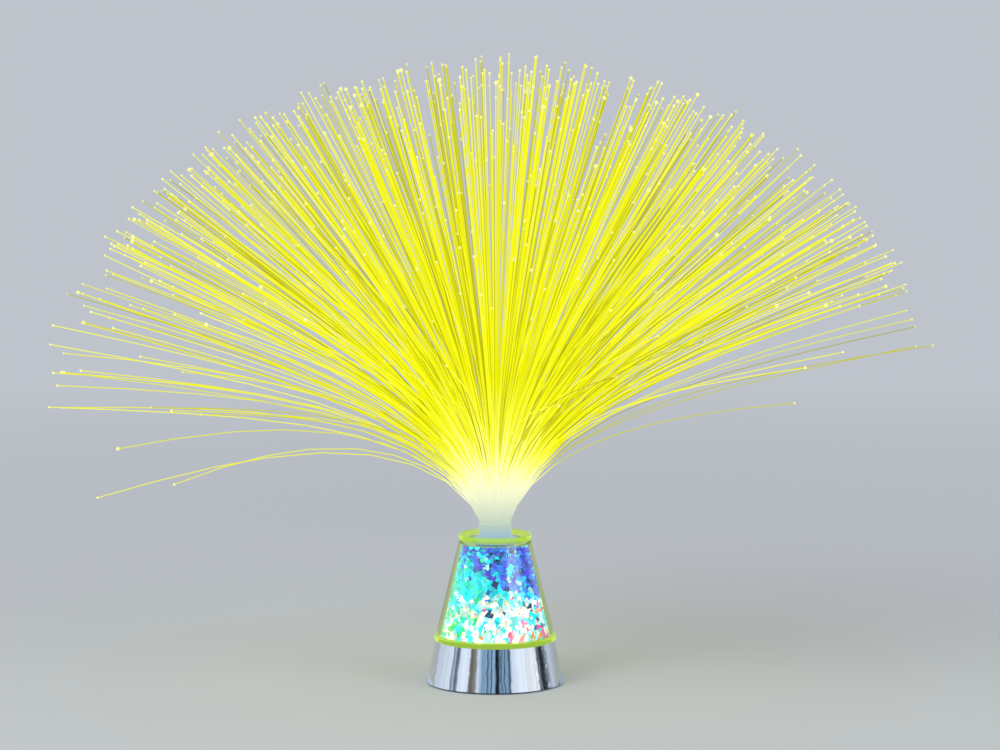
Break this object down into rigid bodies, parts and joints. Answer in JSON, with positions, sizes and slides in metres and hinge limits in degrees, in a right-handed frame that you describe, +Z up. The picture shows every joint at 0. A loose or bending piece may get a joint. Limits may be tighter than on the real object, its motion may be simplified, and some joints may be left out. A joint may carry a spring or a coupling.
{
  "type": "fiber optic lamp",
  "caption": "Battery fibre optic lamp: chrome conical base, clear cone of crystal chips and a plug-in bundle of fibres that fans out into a dome.",
  "frame": {"origin": "centre of the ground plane under the lamp's four feet, on the lamp's axis", "axes": "+Z up along the lamp's axis, -Y towards the front that the picture shows, +X to the right seen from the front"},
  "size_m": [0.5016, 0.5, 0.356],
  "materials": {
    "chrome_shell": "polished",
    "black_plastic": "satin",
    "foot_rubber": "matte",
    "zinc_steel": "satin",
    "cell_can": "gloss",
    "spring_steel": "satin",
    "phenolic_board": "matte",
    "tinned_brass": "satin",
    "circuit_green": "satin",
    "led_resin": "gloss",
    "white_plastic": "satin",
    "chip_black": "matte",
    "wire_red": "satin",
    "wire_white": "satin",
    "wire_black": "satin",
    "clear_acrylic": "polished",
    "frosted_acrylic": "matte",
    "crystal_chips": "gloss",
    "pale_sleeve": "satin",
    "potted_fibre": "satin",
    "optical_fibre": "gloss"
  },
  "bodies": {
    "base": {"base_shell": "chrome_shell", "bottom_plate": "black_plastic", "foot_pads": "foot_rubber", "housing_screws": "zinc_steel", "battery_cell_1": "cell_can", "battery_cell_2": "cell_can", "battery_cell_3": "cell_can", "contact_springs": "spring_steel", "contact_bridges": "spring_steel", "contact_terminals": "spring_steel", "switch_frame": "zinc_steel", "switch_base": "phenolic_board", "switch_pins": "tinned_brass", "circuit_board": "circuit_green", "board_screws": "zinc_steel", "centre_led": "led_resin", "led_reflector": "white_plastic", "chip_leds": "white_plastic", "controller_chip": "chip_black", "resistors": "chip_black", "red_wire": "wire_red", "white_wire": "wire_white", "black_wire": "wire_black", "crystal_cone": "clear_acrylic", "chip_tray": "frosted_acrylic", "crystal_fill": "crystal_chips"},
    "door": {"battery_door": "black_plastic"},
    "switch": {"switch_button": "black_plastic"},
    "bundle": {"ferrule_sleeve": "pale_sleeve", "bundle_core": "potted_fibre", "fibre_spray": "optical_fibre"}
  },
  "joints": [
    {"name": "power_switch", "type": "slide", "parent": "base", "child": "switch", "axis": [1, 0, 0], "range_m": [-0.004, 0]},
    {"name": "battery_door_hinge", "type": "hinge", "parent": "base", "child": "door", "pos_m": [-0.02645, 0.001, 0.00295], "axis": [0, 1, 0], "range_deg": [0, 75]},
    {"name": "bundle_lift", "type": "slide", "parent": "base", "child": "bundle", "axis": [0, 0, 1], "range_m": [0, 0.055]}
  ]
}
